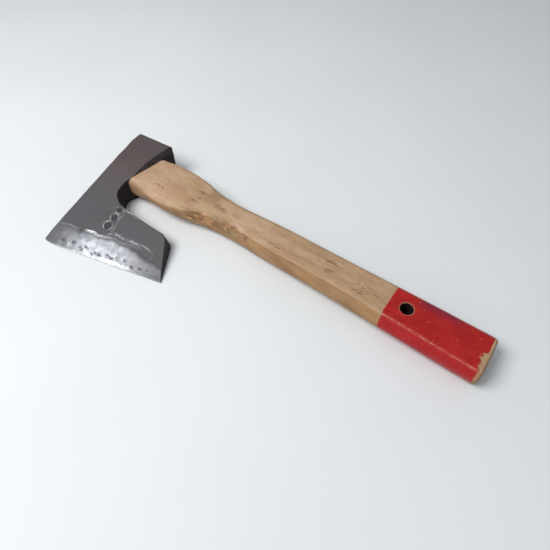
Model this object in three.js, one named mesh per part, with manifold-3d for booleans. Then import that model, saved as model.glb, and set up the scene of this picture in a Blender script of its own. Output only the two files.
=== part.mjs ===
// Bearded roofing hatchet with a plain flat poll, lying on its flat cheek.
//
// Millimetres. +X runs along the haft from the head to the butt, +Y points to the poll,
// -Y to the cutting edge, and +Z is up, square to the flat cheek. While the pieces are
// made, x = 0 is the middle of the eye, y = 0 is the haft's axis, and z = 0 is the flat
// cheek. The finished group is then moved so that its origin is at the bottom centre of
// its box.
//
// The head is a forged body with an eye, and a hard steel bit welded into its cleft. The
// haft's tenon goes right through the eye. A wooden wedge in the tenon's kerf and two
// steel wedges across it spread it. The grip's end is dipped in red paint.

import * as THREE from 'three';
import { mergeVertices } from 'three/addons/utils/BufferGeometryUtils.js';
import Module from 'manifold-3d';

const wasm = await Module();
wasm.setup();

// ---- Driving dimensions -------------------------------------------------------------

const GAP = 0.3;                        // clearance between pieces that touch

// Head, seen from above the cheek
const POLL_TOP = [-20.8, 27.9];         // poll's corner at the head's top face
const POLL_UNDER = [22.8, 30.6];        // poll's corner at the head's underside
const POLL_CORNER = 2.5;                // how far each poll corner is rounded back
const UNDERSIDE = [[20.6, 16], [18.7, 0], [17.9, -12]];
const THROAT = [[14.6, -20], [11.9, -28], [13.2, -34.6], [18, -40.5], [26, -44.7]];
const BEARD_TOP_Y = -45.3;              // straight back edge of the beard
const BEARD_CORNER = [84.6, -45.3];     // beard's back corner before it is rounded
const BEARD_CORNER_RUN = 7;             // rounding, measured along each side
const HEEL = [107.4, -83.7];            // near end of the cutting edge
const TOE = [-15.6, -109.9];            // far end of the cutting edge
const TOE_START = [6, -107.4];          // where the straight edge starts to round to the toe
const TOE_PULL = [-8, -110.6];
const TOP_FACE = [[-15.4, -15], [-17.2, 3], [-19.4, 13]];
const HEEL_LEAN = THREE.MathUtils.degToRad(9.8);    // beard's sides lean in as they rise
const BEARD_LEAN = THREE.MathUtils.degToRad(12);
const RUN_OUT = [18, -41];              // where the leaning back edge runs out into the throat
const RUN_OUT_TURN = THREE.MathUtils.degToRad(63.5);
const CHEEK_CHAMFER = [[18.7, 27, 33.7], [14.6, -10, 30.2], [21, 16, 26]];  // three points on it

// Head's thickness, square to the cutting edge: distance from the edge, and height
const EDGE_START = [0, -108.9];
const EDGE_TURN = THREE.MathUtils.degToRad(12.9);   // edge's slant from the haft's axis
const EDGE_HEIGHT = 0.6;
const CHEEK = [[3, 2.2], [10, 5.3], [23, 9.3], [50, 17.2], [77, 24.9], [90, 29.2], [97, 31.8], [110, 33]];
const POLL_REACH = 140;                 // distance at which the poll's crown ends
const POLL_HEIGHT = 34;

// Steel bit: a wedge whose tongue sits in the body's cleft
const WELD = 20;                        // distance of the weld line from the edge
const TONGUE = 12;                      // how much deeper the tongue reaches
const TONGUE_LOW = 1.6;
const TONGUE_HIGH = 5.6;
const TONGUE_TIP = 4;

// Haft, about its own axis
const EYE_HEIGHT = 16.2;                // haft's axis above the flat cheek, at the eye
const HAFT_FALL = THREE.MathUtils.degToRad(0.81);   // its slope down to the butt
const HALF_THICK = 10.8;
const CORNER = 6.5;                     // rounding of the haft's long corners
const BUTT_X = 362;
const BUTT_ROUND = 2.5;
// Stations along the grip: x, back (toward the poll), belly (toward the edge)
const STATIONS = [
  [23, 20.2, -24.4], [36, 22.3, -25], [58, 22.9, -25.3], [76, 20.8, -22.6],
  [92, 17, -17.8], [112, 14.9, -14.6], [135, 15, -14.1], [165, 16.7, -16],
  [230, 17.9, -17.8], [300, 18.9, -19.2], [362, 19.4, -19.7],
];
const GRIP_STEPS = 44;

// Tenon and its wedges
const TENON_TOP_X = -15.8;
const TENON_FLARE = 1.2;                // how much the wedges spread the tenon's top
const FLARE_START_X = 4;
const KERF_END_X = 8;
const WOOD_WEDGE = { top: 2.3, tip: 0.5 };          // half thicknesses
const STEEL_WEDGE = { top: 1.3, tip: 0.4, halfWidth: 7, endX: -2 };
const STEEL_WEDGE_PLACES = [
  { name: 'steel_wedge_front', y: -14, turn: THREE.MathUtils.degToRad(50) },
  { name: 'steel_wedge_rear', y: 9, turn: THREE.MathUtils.degToRad(-50) },
];

// Hanging hole and paint
const HOLE = { x: 294, y: 0.7, radius: 5.5 };
const PAINT_START_X = 279.5;
const PAINT_END_X = 359;
const PAINT_THICK = 0.5;

// ---- Materials ----------------------------------------------------------------------

const forgedSteel = new THREE.MeshStandardMaterial({ color: 0x5a5556, roughness: 0.5, metalness: 0.9 });
const bitSteel = new THREE.MeshStandardMaterial({ color: 0x9a9ca2, roughness: 0.32, metalness: 1 });
const wedgeSteel = new THREE.MeshStandardMaterial({ color: 0x6c6864, roughness: 0.55, metalness: 0.9 });
const paleWood = new THREE.MeshStandardMaterial({ color: 0xb39373, roughness: 0.65, metalness: 0 });
const wedgeWood = new THREE.MeshStandardMaterial({ color: 0x9c7650, roughness: 0.75, metalness: 0 });
const redPaint = new THREE.MeshStandardMaterial({ color: 0xa52824, roughness: 0.35, metalness: 0 });

// ---- Solids -------------------------------------------------------------------------

function toSolid(geometry) {
  const bare = geometry.index ? geometry.toNonIndexed() : geometry.clone();
  bare.deleteAttribute('normal');
  bare.deleteAttribute('uv');
  const merged = mergeVertices(bare, 1e-4);
  return new wasm.Manifold(new wasm.Mesh({
    numProp: 3,
    vertProperties: new Float32Array(merged.attributes.position.array),
    triVerts: new Uint32Array(merged.index.array),
  }));
}

function toMesh(name, solid, material) {
  const result = solid.getMesh();
  const geometry = new THREE.BufferGeometry();
  geometry.setAttribute('position', new THREE.BufferAttribute(result.vertProperties, 3));
  geometry.setIndex(new THREE.BufferAttribute(result.triVerts, 1));
  geometry.computeVertexNormals();
  const mesh = new THREE.Mesh(geometry, material);
  mesh.name = name;
  return mesh;
}

function boxBetween(low, high) {
  const size = new THREE.Vector3().subVectors(high, low);
  const box = new THREE.BoxGeometry(size.x, size.y, size.z);
  const centre = low.clone().add(high).multiplyScalar(0.5);
  return toSolid(box.translate(centre.x, centre.y, centre.z));
}

// Skin over rings of equal length, with a flat cap on each end. The rings are convex, run
// anticlockwise seen from +X, and follow each other along +X.
function loft(rings) {
  const count = rings[0].length;
  const index = [];
  for (let r = 0; r < rings.length - 1; r += 1) {
    for (let i = 0; i < count; i += 1) {
      const a = r * count + i;
      const b = r * count + ((i + 1) % count);
      index.push(a, b, b + count, a, b + count, a + count);
    }
  }
  const last = (rings.length - 1) * count;
  for (let i = 1; i < count - 1; i += 1) {
    index.push(0, i + 1, i, last, last + i, last + i + 1);
  }
  const geometry = new THREE.BufferGeometry().setFromPoints(rings.flat());
  geometry.setIndex(index);
  return toSolid(geometry);
}

// ---- Head ---------------------------------------------------------------------------

function headOutline() {
  const pollRun = new THREE.Vector2(...POLL_UNDER).sub(new THREE.Vector2(...POLL_TOP)).normalize();
  const outline = new THREE.Shape();
  outline.moveTo(POLL_TOP[0] + 0.3, POLL_TOP[1] - POLL_CORNER);
  outline.quadraticCurveTo(
    ...POLL_TOP,
    POLL_TOP[0] + pollRun.x * POLL_CORNER, POLL_TOP[1] + pollRun.y * POLL_CORNER,
  );
  outline.lineTo(POLL_UNDER[0] - pollRun.x * POLL_CORNER, POLL_UNDER[1] - pollRun.y * POLL_CORNER);
  outline.quadraticCurveTo(...POLL_UNDER, POLL_UNDER[0] - 0.4, POLL_UNDER[1] - POLL_CORNER);
  outline.splineThru([...UNDERSIDE, ...THROAT, [35, BEARD_TOP_Y]].map(([x, y]) => new THREE.Vector2(x, y)));

  const corner = new THREE.Vector2(...BEARD_CORNER);
  const heelRun = new THREE.Vector2(...HEEL).sub(corner).normalize();
  outline.lineTo(corner.x - BEARD_CORNER_RUN, corner.y);
  outline.quadraticCurveTo(
    corner.x, corner.y,
    corner.x + heelRun.x * BEARD_CORNER_RUN, corner.y + heelRun.y * BEARD_CORNER_RUN,
  );
  outline.lineTo(...HEEL);
  outline.lineTo(...TOE_START);
  outline.quadraticCurveTo(...TOE_PULL, ...TOE);
  outline.lineTo(...TOP_FACE[0]);
  outline.splineThru([...TOP_FACE.slice(1), [POLL_TOP[0] + 0.3, POLL_TOP[1] - POLL_CORNER]]
    .map(([x, y]) => new THREE.Vector2(x, y)));
  return outline;
}

// Prism whose section is drawn square to the cutting edge: x is the distance from the
// edge, y is the height above the flat cheek.
function prismAlongEdge(section) {
  const reach = 260;
  const prism = new THREE.ExtrudeGeometry(section, { depth: reach, bevelEnabled: false });
  prism.translate(0, 0, -reach / 2);
  const along = new THREE.Vector3(Math.cos(EDGE_TURN), Math.sin(EDGE_TURN), 0);
  const across = new THREE.Vector3(-along.y, along.x, 0);
  const frame = new THREE.Matrix4().makeBasis(across, new THREE.Vector3(0, 0, 1), along);
  frame.setPosition(EDGE_START[0], EDGE_START[1], 0);
  return toSolid(prism.applyMatrix4(frame));
}

function cheekSection() {
  const section = new THREE.Shape();
  section.moveTo(-1, 0);
  section.lineTo(POLL_REACH + 20, 0);
  section.lineTo(POLL_REACH + 20, POLL_HEIGHT);
  section.lineTo(POLL_REACH, POLL_HEIGHT);
  const rising = new THREE.SplineCurve([
    new THREE.Vector2(0, EDGE_HEIGHT), ...CHEEK.map(([d, z]) => new THREE.Vector2(d, z)),
  ]);
  for (const point of rising.getPoints(18).reverse()) section.lineTo(point.x, point.y);
  section.lineTo(-1, EDGE_HEIGHT);
  return section;
}

// Large block whose near face passes through a point, facing against the normal.
function blockBeyond(point, normal) {
  const reach = 300;
  const block = new THREE.BoxGeometry(reach, reach, reach).translate(0, 0, reach / 2);
  const turn = new THREE.Quaternion().setFromUnitVectors(new THREE.Vector3(0, 0, 1), normal);
  return toSolid(block.applyQuaternion(turn).translate(point.x, point.y, point.z));
}

// Everything outside a side of the beard, which leans in as it rises. The side runs
// clockwise round the head, from one point of the outline to another.
function leanCutter(from, to, lean) {
  const run = new THREE.Vector3(to[0] - from[0], to[1] - from[1], 0).normalize();
  const outward = new THREE.Vector3(-run.y, run.x, 0).multiplyScalar(Math.cos(lean));
  outward.z = Math.sin(lean);
  return blockBeyond(new THREE.Vector3(from[0], from[1], 0), outward);
}

// The slanted band between the top cheek and the eye's underside.
function chamferCutter() {
  const points = CHEEK_CHAMFER.map((point) => new THREE.Vector3(...point));
  const plane = new THREE.Plane().setFromCoplanarPoints(points[0], points[2], points[1]);
  if (plane.normal.x < 0) plane.negate();
  return blockBeyond(points[0], plane.normal)
    .intersect(boxBetween(new THREE.Vector3(0, -24, 20), new THREE.Vector3(60, 40, 50)));
}

function headBlank() {
  const plate = new THREE.ExtrudeGeometry(headOutline(), {
    depth: POLL_HEIGHT + 1, bevelEnabled: false, curveSegments: 12,
  });
  const runOut = new THREE.Vector3(Math.cos(RUN_OUT_TURN), Math.sin(RUN_OUT_TURN), 0);
  const beardTop = leanCutter([40, BEARD_TOP_Y], BEARD_CORNER, BEARD_LEAN)
    .intersect(blockBeyond(new THREE.Vector3(...RUN_OUT, 0), runOut))
    .intersect(boxBetween(new THREE.Vector3(RUN_OUT[0], -60, -1), new THREE.Vector3(130, -26, 40)));
  return toSolid(plate)
    .intersect(prismAlongEdge(cheekSection()))
    .subtract(leanCutter(BEARD_CORNER, HEEL, HEEL_LEAN))
    .subtract(beardTop)
    .subtract(chamferCutter());
}

// Everything within the weld line, and the tongue beyond it, grown by a gap.
function bitSection(gap) {
  const section = new THREE.Shape();
  section.moveTo(-10, -1);
  section.lineTo(WELD + gap, -1);
  section.lineTo(WELD + gap, TONGUE_LOW - gap);
  section.lineTo(WELD + TONGUE + 2 * gap, TONGUE_TIP - gap);
  section.lineTo(WELD + TONGUE + 2 * gap, TONGUE_TIP + gap);
  section.lineTo(WELD + gap, TONGUE_HIGH + gap);
  section.lineTo(WELD + gap, 20);
  section.lineTo(-10, 20);
  return section;
}

// ---- Haft ---------------------------------------------------------------------------

const backCurve = new THREE.SplineCurve(STATIONS.map(([x, back]) => new THREE.Vector2(x, back)));
const bellyCurve = new THREE.SplineCurve(STATIONS.map(([x, , belly]) => new THREE.Vector2(x, belly)));

// Rounded rectangle square to X, between belly and back, grown outward by a margin.
function roundedRing(x, belly, back, halfThick, corner, grow = 0) {
  const steps = 4;
  const radius = corner + grow;
  const centres = [
    [back - corner, halfThick - corner], [belly + corner, halfThick - corner],
    [belly + corner, corner - halfThick], [back - corner, corner - halfThick],
  ];
  return centres.flatMap(([y, z], quarter) => Array.from({ length: steps + 1 }, (_, i) => {
    const angle = (quarter + i / steps) * Math.PI / 2;
    return new THREE.Vector3(x, y + radius * Math.cos(angle), z + radius * Math.sin(angle));
  }));
}

// The grip's solid from the shoulder to the butt, pared down all round by an amount.
function gripSolid(pared = 0) {
  const rings = [];
  for (let i = 0; i < GRIP_STEPS; i += 1) {
    const back = backCurve.getPoint(i / GRIP_STEPS);
    const belly = bellyCurve.getPoint(i / GRIP_STEPS);
    rings.push(roundedRing(back.x, belly.y, back.y, HALF_THICK, CORNER, -pared));
  }
  const [, endBack, endBelly] = STATIONS.at(-1);
  for (const angle of [0, 0.4, 0.8, 1.2, Math.PI / 2]) {
    const inset = BUTT_ROUND * (1 - Math.cos(angle));
    const x = BUTT_X - BUTT_ROUND * (1 - Math.sin(angle));
    rings.push(roundedRing(x, endBelly, endBack, HALF_THICK, CORNER, -pared - inset));
  }
  return loft(rings);
}

// The tenon inside the eye, grown by a gap to make the eye itself.
function tenonSolid(topX, bottomX, grow = 0) {
  const [, back, belly] = STATIONS[0];
  const rings = [topX, FLARE_START_X, bottomX].map((x) => {
    const flare = TENON_FLARE * Math.max(0, FLARE_START_X - x) / (FLARE_START_X - TENON_TOP_X);
    return roundedRing(x, belly, back, HALF_THICK, CORNER, grow + flare);
  });
  return loft(rings);
}

// Tapered plate that narrows from the tenon's top down to endX. With a gap it is the slot
// for that plate: it is larger all round, and it runs on past the tenon's top.
function wedgeSolid(endX, low, high, halves, gap) {
  const overhang = gap > 0 ? 5 : 0;
  const topX = TENON_TOP_X - overhang;
  const slope = (halves.top - halves.tip) / (endX - TENON_TOP_X);
  const ring = (x, half) => [
    new THREE.Vector3(x, high, -half), new THREE.Vector3(x, high, half),
    new THREE.Vector3(x, low, half), new THREE.Vector3(x, low, -half),
  ];
  return loft([ring(topX, halves.top + gap + slope * overhang), ring(endX + gap, halves.tip + gap)]);
}

function woodWedge(gap = 0) {
  const [, back, belly] = STATIONS[0];
  const sideways = gap > 0 ? 5 : 0;
  return wedgeSolid(KERF_END_X, belly - sideways, back + sideways, WOOD_WEDGE, gap);
}

function steelWedge(place, gap = 0) {
  const { halfWidth, endX } = STEEL_WEDGE;
  const plate = wedgeSolid(endX, -halfWidth - gap, halfWidth + gap, STEEL_WEDGE, gap);
  return plate.transform(new THREE.Matrix4()
    .makeTranslation(0, place.y, 0)
    .multiply(new THREE.Matrix4().makeRotationX(place.turn + Math.PI / 2))
    .toArray());
}

function hangingHole() {
  const drill = new THREE.CylinderGeometry(HOLE.radius, HOLE.radius, 4 * HALF_THICK, 32);
  return toSolid(drill.rotateX(Math.PI / 2).translate(HOLE.x, HOLE.y, 0));
}

// Slab of space across the whole haft, from one x to another.
function paintZone(from, to) {
  return boxBetween(new THREE.Vector3(from, -40, -20), new THREE.Vector3(to, 40, 20));
}

// ---- Assembly -----------------------------------------------------------------------

const haftFrame = new THREE.Matrix4().makeRotationY(HAFT_FALL).setPosition(0, 0, EYE_HEIGHT);

const steelWedges = STEEL_WEDGE_PLACES.map((place) => ({ ...place, solid: steelWedge(place) }));

function buildHead() {
  const eye = tenonSolid(-30, 40, GAP).transform(haftFrame.toArray());
  const blank = headBlank();
  const body = blank.subtract(prismAlongEdge(bitSection(GAP))).subtract(eye);
  const bit = blank.intersect(prismAlongEdge(bitSection(0)));
  const head = new THREE.Group();
  head.add(toMesh('axe_head', body, forgedSteel), toMesh('steel_bit', bit, bitSteel));
  return head;
}

function buildHaft() {
  const sunk = paintZone(PAINT_START_X - GAP, PAINT_END_X + GAP)
    .subtract(gripSolid(PAINT_THICK + GAP));
  let haft = tenonSolid(TENON_TOP_X, STATIONS[0][0], 0)
    .add(gripSolid())
    .subtract(hangingHole())
    .subtract(sunk)
    .subtract(woodWedge(GAP));
  let wedge = woodWedge();
  for (const place of STEEL_WEDGE_PLACES) {
    haft = haft.subtract(steelWedge(place, GAP));
    wedge = wedge.subtract(steelWedge(place, GAP));
  }
  const coat = gripSolid()
    .intersect(paintZone(PAINT_START_X, PAINT_END_X))
    .subtract(gripSolid(PAINT_THICK))
    .subtract(hangingHole());

  const group = new THREE.Group();
  group.add(toMesh('haft', haft, paleWood));
  group.add(toMesh('wooden_wedge', wedge, wedgeWood));
  for (const { name, solid } of steelWedges) group.add(toMesh(name, solid, wedgeSteel));
  group.add(toMesh('red_paint_coat', coat, redPaint));
  group.applyMatrix4(haftFrame);
  return group;
}

const hatchet = new THREE.Group();
hatchet.add(buildHead(), buildHaft());
hatchet.updateMatrixWorld(true);
const bounds = new THREE.Box3().setFromObject(hatchet, true);
const centre = bounds.getCenter(new THREE.Vector3());
hatchet.position.set(-centre.x, -centre.y, -bounds.min.z);

const group = new THREE.Group();
group.add(hatchet);

export default group;
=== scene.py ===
# Roofing hatchet: detailed meshes and materials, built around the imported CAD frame.
#
# Everything is drawn in the tool's own frame, in millimetres, and placed in metres at the
# end. X runs along the haft from the head to the butt with 0 at the middle of the eye, +Y
# points to the poll and -Y to the cutting edge, and Z = 0 is the flat cheek it lies on.
# The haft has a frame of its own, which falls a little toward the butt.

import math

import bmesh
import bpy
import numpy as np
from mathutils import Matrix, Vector, geometry, noise


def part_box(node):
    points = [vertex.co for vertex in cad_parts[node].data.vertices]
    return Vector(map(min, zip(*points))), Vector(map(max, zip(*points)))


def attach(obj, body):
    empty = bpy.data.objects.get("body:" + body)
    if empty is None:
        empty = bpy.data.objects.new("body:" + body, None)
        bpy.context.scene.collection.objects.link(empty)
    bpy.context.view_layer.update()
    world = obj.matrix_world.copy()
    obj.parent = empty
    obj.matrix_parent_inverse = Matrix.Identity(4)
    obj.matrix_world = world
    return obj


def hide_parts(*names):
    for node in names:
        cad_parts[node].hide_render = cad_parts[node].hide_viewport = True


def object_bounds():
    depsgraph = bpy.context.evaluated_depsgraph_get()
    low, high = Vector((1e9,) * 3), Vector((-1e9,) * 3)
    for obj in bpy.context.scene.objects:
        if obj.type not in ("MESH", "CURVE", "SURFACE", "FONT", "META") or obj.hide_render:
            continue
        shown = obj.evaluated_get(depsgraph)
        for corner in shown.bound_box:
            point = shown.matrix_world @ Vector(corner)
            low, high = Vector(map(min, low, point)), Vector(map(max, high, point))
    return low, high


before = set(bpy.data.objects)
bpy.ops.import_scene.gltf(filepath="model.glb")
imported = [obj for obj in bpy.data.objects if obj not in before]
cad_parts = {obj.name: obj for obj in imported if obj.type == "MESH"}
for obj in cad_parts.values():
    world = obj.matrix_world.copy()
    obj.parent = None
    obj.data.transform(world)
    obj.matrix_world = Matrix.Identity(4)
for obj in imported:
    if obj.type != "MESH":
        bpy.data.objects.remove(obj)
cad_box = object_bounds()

MM = 0.001
CREASE = math.radians(38)       # edges sharper than this aren't shaded smooth

# ---- Driving dimensions, in millimetres --------------------------------------------

GAP = 0.3                       # clearance round the tenon and the wedges

# Head, seen from above
HEAD_LOW_X = -20.53             # the head's box, in the tool's frame
HEAD_HIGH_Y = 30.5
POLL_FAR = (-20.8, 27.9)        # poll's corner at the head's top face
POLL_NEAR = (22.8, 30.6)        # poll's corner at the eye's underside
POLL_CORNER = 2.5
UNDERSIDE = ((22.4, 28.1), (20.6, 16), (18.7, 0), (17.9, -12))
THROAT = ((14.6, -20), (11.9, -28), (13.2, -34.6), (18, -40.5), (26, -44.7), (35, -45.3))
BEARD_CORNER = (84.6, -45.3)
BEARD_CORNER_RUN = 7
HEEL = (107.4, -83.7)
TOE_START = (6, -107.4)
TOE_PULL = (-8, -110.6)
TOE = (-15.6, -109.9)
TOP_FACE = ((-15.4, -15), (-17.2, 3), (-19.4, 13), (-20.5, 25.4))
BEARD_LEAN = 12                 # degrees that the beard's sides lean in as they rise
HEEL_LEAN = 9.8
CHAMFER = ((18.7, 27, 33.7), (21, 16, 26), (14.6, -10, 30.2))   # three points on it
CHAMFER_END_Y = -23             # where it has run out, toward the throat
CHAMFER_FACING = 0.35           # how squarely a wall must face the chamfer to be cut by it
OUTLINE_STEP = 0.7
LEVELS = 5                      # rows on each part of the head's side walls

# Cheek's height over the distance from the cutting edge
EDGE_START = (0, -108.9)
EDGE_TURN = math.radians(12.9)
CHEEK_REACH = (0, 3, 10, 23, 50, 77, 90, 100, 112, 126, 140, 180)
CHEEK_RISE = (0.6, 2.2, 5.3, 9.3, 17.2, 25, 28.9, 31.3, 32.8, 33.6, 33.8, 33.8)

# Weld line between the body and the hard bit
WELD_BACK = 21.5                # its distance from the cutting edge
WELD_BACK_AT_HEEL = 11
WELD_NEARS = (45, 110)          # x between which it runs closer to the edge
WELD_WAVE = 1.7
WELD_LAP = (10, 1.9, 2.8)       # where the weld laps over near the toe: x, half length, depth
WELD_ENDS = (-12.5, 97)
SEAM_WIDTH = 0.03               # half the hairline between the two pieces

# Haft, about its own axis
EYE_HEIGHT = 16.2
HAFT_FALL = math.radians(0.81)
HALF_THICK = 10.8
TENON_TOP_X = -15.8
TENON_FLARE = 1.2
FLARE_START_X = 4
PLAIN_CORNER = 6.5              # the tenon's corner radius
BUTT_X = 362
BUTT_ROUND = 2.5
# x, back, belly
GRIP = np.array((
    (23, 20.2, -24.4), (36, 22.3, -25), (58, 22.9, -25.3), (76, 20.8, -22.6), (92, 17, -17.8),
    (112, 14.9, -14.6), (135, 15, -14.1), (165, 16.7, -16), (230, 17.9, -17.8), (300, 18.9, -19.2),
    (362, 19.4, -19.7),
))
# x, how far the belly's ridge lies in from the belly, and how far below the top
RIDGE = np.array((
    (22, 1.6, 5.2), (44, 0.8, 7.2), (73, 0.8, 5.2), (94, 1, 2.2), (116, 1.2, 1.4), (150, 2, 1.2),
    (194, 4, 1), (240, 5, 0.8), (276, 4.8, 0.8), (300, 4.6, 0.7), (340, 3.2, 0.8), (362, 3, 0.8),
))

HOLE = (294, 0.7, 5.5)          # x, y, radius of the hanging hole
BORE_SIDES = 48
PAINT_START_X = 279.5
PAINT_END_X = 359
PAINT_PROUD = 0.1
PAINT_SUNK = 0.35


# ---- Small mathematics --------------------------------------------------------------

def rows_of(*columns):
    return np.column_stack(columns)


def unit(values):
    return np.clip(values, 0, 1)


def bell(value, width):
    """One at zero, fading out over the width."""
    return np.exp(-(value / width) ** 2)


def smoothstep(low, high, value):
    t = unit((value - low) / (high - low))
    return t * t * (3 - 2 * t)


def band(x, *edges):
    """One between the middle two of four edges, fading out to the outer two."""
    return smoothstep(edges[0], edges[1], x) * smoothstep(edges[3], edges[2], x)


def curve_through(x, xs, ys):
    """Height at x of a smooth curve through the points (xs, ys)."""
    xs, ys = np.asarray(xs, float), np.asarray(ys, float)
    slopes = np.gradient(ys, xs)
    i = np.clip(np.searchsorted(xs, x) - 1, 0, len(xs) - 2)
    run = xs[i + 1] - xs[i]
    t = unit((x - xs[i]) / run)
    rise = ys[i] * (1 + 2 * t) * (1 - t) ** 2 + ys[i + 1] * t * t * (3 - 2 * t)
    return rise + run * (slopes[i] * t * (1 - t) ** 2 - slopes[i + 1] * t * t * (1 - t))


def spline(points, steps=10):
    """Smooth line through the points, ends included."""
    p = np.asarray(points, float)
    p = np.vstack([p[:1], p, p[-1:]])
    t = np.linspace(0, 1, steps, endpoint=False)[:, None]
    pieces = []
    for a, b, c, d in zip(p, p[1:], p[2:], p[3:]):
        pull = (c - a) / 2, (d - b) / 2
        pieces.append(b + t * pull[0] + t**2 * (3 * (c - b) - 2 * pull[0] - pull[1])
                      + t**3 * (2 * (b - c) + pull[0] + pull[1]))
    return np.vstack([*pieces, p[-1:]])


def bend(start, pull, end, steps=10):
    """Quadratic curve from start to end, pulled toward a point."""
    t = np.linspace(0, 1, steps)[:, None]
    start, pull, end = (np.asarray(p, float) for p in (start, pull, end))
    return (1 - t)**2 * start + 2 * t * (1 - t) * pull + t**2 * end


def toward(start, goal, run):
    """Point at a distance from start, on the way to the goal."""
    start, goal = np.asarray(start, float), np.asarray(goal, float)
    return start + (goal - start) * run / np.hypot(*(goal - start))


def closed(loop):
    return np.vstack([loop, loop[:1]])


def running_length(line):
    return np.concatenate([[0], np.cumsum(np.hypot(*np.diff(line, axis=0).T))])


def right_of(line):
    """Directions to the right of an open line, square to it."""
    run = np.gradient(line, axis=0)
    run /= np.hypot(*run.T)[:, None]
    return rows_of(run[:, 1], -run[:, 0])


def resample(columns, step):
    """The same closed line, with its first two columns a place, at equal steps."""
    whole = closed(columns)
    run = running_length(whole[:, :2])
    count = round(run[-1] / step)
    at = np.arange(count) * run[-1] / count
    return np.stack([np.interp(at, run, c) for c in whole.T], 1)


def blur_ring(values, step, width):
    """Values round a closed line, blurred over a width."""
    frequency = np.fft.fftfreq(len(values), step)
    keep = np.exp(-2 * (math.pi * width * frequency) ** 2)
    return np.fft.ifft(np.fft.fft(values, axis=0) * keep[:, None], axis=0).real


def line_distance(points, line):
    """Distance of each point from a line, and the line's side: above 0 is on its right."""
    best = np.full(len(points), 1e9)
    side = np.zeros(len(points))
    for a, b in zip(line[:-1], line[1:]):
        run = b - a
        t = unit((points - a) @ run / (run @ run))
        away = points - a - t[:, None] * run
        distance = np.hypot(*away.T)
        nearer = distance < best
        best[nearer] = distance[nearer]
        side[nearer] = (run[1] * away[:, 0] - run[0] * away[:, 1])[nearer]
    return best, side


def inside(points, loop):
    """Whether each point lies inside a closed loop."""
    hit = np.zeros(len(points), bool)
    x, y = points.T
    for (ax, ay), (bx, by) in zip(loop, np.roll(loop, -1, axis=0)):
        if ay == by:
            continue
        crosses = (ay > y) != (by > y)
        hit ^= crosses & (x < (bx - ax) * (y - ay) / (by - ay) + ax)
    return hit


def noise_at(points, scale, seed=0.0, octaves=1):
    """Smooth noise between about -1 and 1, with features of this size in mm."""
    places = points / scale + np.array((seed, 2.7 * seed, -1.3 * seed))
    if octaves == 1:
        return np.array([noise.noise(p) for p in places])
    return np.array([noise.fractal(p, 1.0, 2.0, octaves) for p in places])


def mottle_at(points, scale, seed, octaves):
    """Noise between about 0 and 1."""
    return 0.5 + 0.5 * noise_at(points, scale, seed, octaves)


def spot_at(x, y, at_x, at_y, long, wide):
    """One in the middle of a soft spot, fading out over its half length and half width."""
    return np.exp(-((x - at_x) / long) ** 2 - ((y - at_y) / wide) ** 2)


# ---- From the tool's frame to the CAD row frame -------------------------------------

head_low, head_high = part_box("axe_head")
TOOL_ORIGIN = np.array((head_low.x / MM - HEAD_LOW_X, head_high.y / MM - HEAD_HIGH_Y, 0.0))


def haft_to_tool(points):
    """Places from the haft's own frame to the tool's frame."""
    x, y, z = np.asarray(points, float).T
    fall, rise = math.sin(HAFT_FALL), math.cos(HAFT_FALL)
    return np.stack([x * rise + z * fall, y, EYE_HEIGHT - x * fall + z * rise], 1)


def make_piece(name, points, faces):
    """New mesh object from places in the tool's frame, with its faces turned outward."""
    mesh = bpy.data.meshes.new(name)
    mesh.from_pydata(((points + TOOL_ORIGIN) * MM).tolist(), [], [list(map(int, f)) for f in faces])
    bm = bmesh.new()
    bm.from_mesh(mesh)
    bmesh.ops.remove_doubles(bm, verts=bm.verts, dist=1e-7)
    bmesh.ops.recalc_face_normals(bm, faces=bm.faces)
    bm.to_mesh(mesh)
    bm.free()
    piece = bpy.data.objects.new(name, mesh)
    bpy.context.scene.collection.objects.link(piece)
    return piece


def tool_points(piece):
    """The vertices of a piece, in the tool's frame, and its vertex normals."""
    count = len(piece.data.vertices)
    points, normals = np.empty(count * 3), np.empty(count * 3)
    piece.data.vertices.foreach_get("co", points)
    piece.data.vertices.foreach_get("normal", normals)
    return points.reshape(-1, 3) / MM - TOOL_ORIGIN, normals.reshape(-1, 3)


def set_points(piece, points):
    piece.data.vertices.foreach_set("co", ((points + TOOL_ORIGIN) * MM).ravel())
    piece.data.update()


def cut_away(piece, cutters):
    """Cuts each cutter out of the piece, and deletes the cutters."""
    for cutter in cutters:
        cut = piece.modifiers.new("cut", "BOOLEAN")
        cut.operation, cut.solver, cut.object = "DIFFERENCE", "MANIFOLD", cutter
    graph = bpy.context.evaluated_depsgraph_get()
    mesh = bpy.data.meshes.new_from_object(piece.evaluated_get(graph))
    piece.modifiers.clear()
    old = piece.data
    piece.data = mesh
    bpy.data.meshes.remove(old)
    mesh.name = piece.name
    for cutter in cutters:
        bpy.data.objects.remove(cutter)


def finish_piece(piece, nodes, material):
    """Smooth shading with sharp creases, the material, and the piece's place on the frame."""
    for polygon in piece.data.polygons:
        polygon.use_smooth = True
    piece.data.set_sharp_from_angle(angle=CREASE)
    piece.data.materials.clear()
    piece.data.materials.append(material)
    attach(piece, "root")
    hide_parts(*nodes)


def store(piece, **masks):
    for name, values in masks.items():
        layer = piece.data.attributes.new(name, "FLOAT", "POINT")
        layer.data.foreach_set("value", np.asarray(values, np.float32))


def ring_faces(rings, count):
    """Quads between rings of equal length, as rows of point numbers."""
    faces = []
    for low, high in zip(rings[:-1], rings[1:]):
        for i in range(count):
            j = (i + 1) % count
            faces.append((low[i], low[j], high[j], high[i]))
    return faces


# ---- Head: body and bit -------------------------------------------------------------

def edge_distance(x, y):
    """How far a place is from the cutting edge's line, square to it."""
    return (y - EDGE_START[1]) * math.cos(EDGE_TURN) - (x - EDGE_START[0]) * math.sin(EDGE_TURN)


def cheek_height(x, y):
    return curve_through(edge_distance(x, y), CHEEK_REACH, CHEEK_RISE)


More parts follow.
